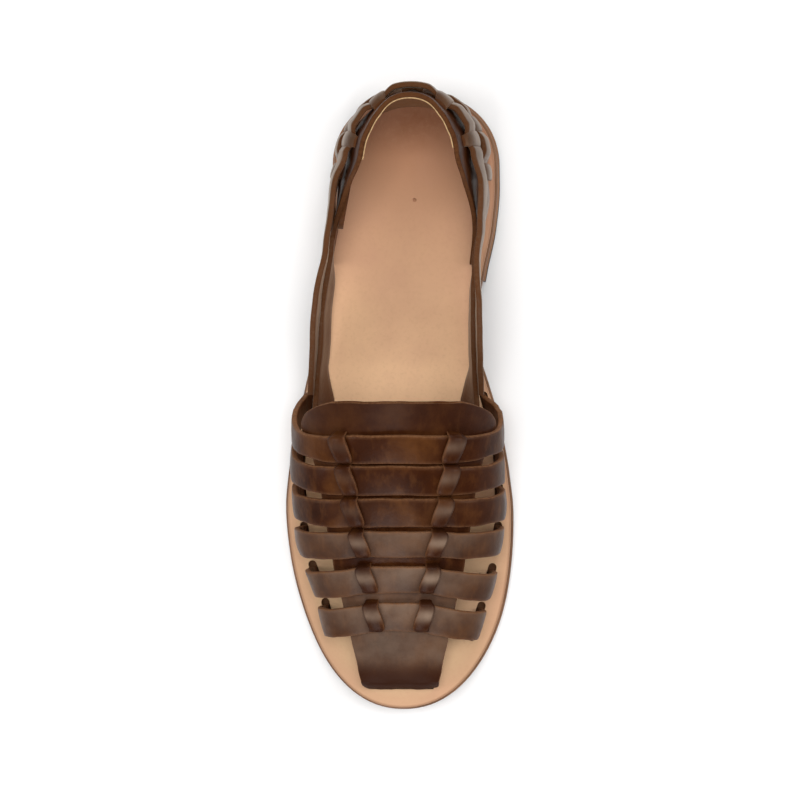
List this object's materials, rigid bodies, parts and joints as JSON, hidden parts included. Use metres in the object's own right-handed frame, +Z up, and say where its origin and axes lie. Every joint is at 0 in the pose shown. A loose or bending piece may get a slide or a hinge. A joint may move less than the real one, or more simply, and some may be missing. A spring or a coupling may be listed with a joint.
{
  "type": "leather sandal",
  "caption": "Woven leather sandal for the right foot: straps threaded under two bands of a tongue, closed woven heel, natural leather footbed, low stacked heel.",
  "frame": {"origin": "middle of the footprint of the whole sandal, on the floor", "axes": "+X towards the inner side of the foot, -Y towards the toe, +Z up"},
  "size_m": [0.0936, 0.2534, 0.0741],
  "materials": {
    "outsole_leather": "burnished edge",
    "natural_leather": "smooth vegetable tanned",
    "stack_leather": "burnished stack",
    "cap_rubber": "matte",
    "brown_leather": "oiled pull-up"
  },
  "bodies": {
    "root": {"outsole": "outsole_leather", "footbed": "natural_leather", "heel_stack": "stack_leather", "heel_cap": "cap_rubber", "vamp": "brown_leather", "heel_counter": "brown_leather"}
  },
  "joints": []
}
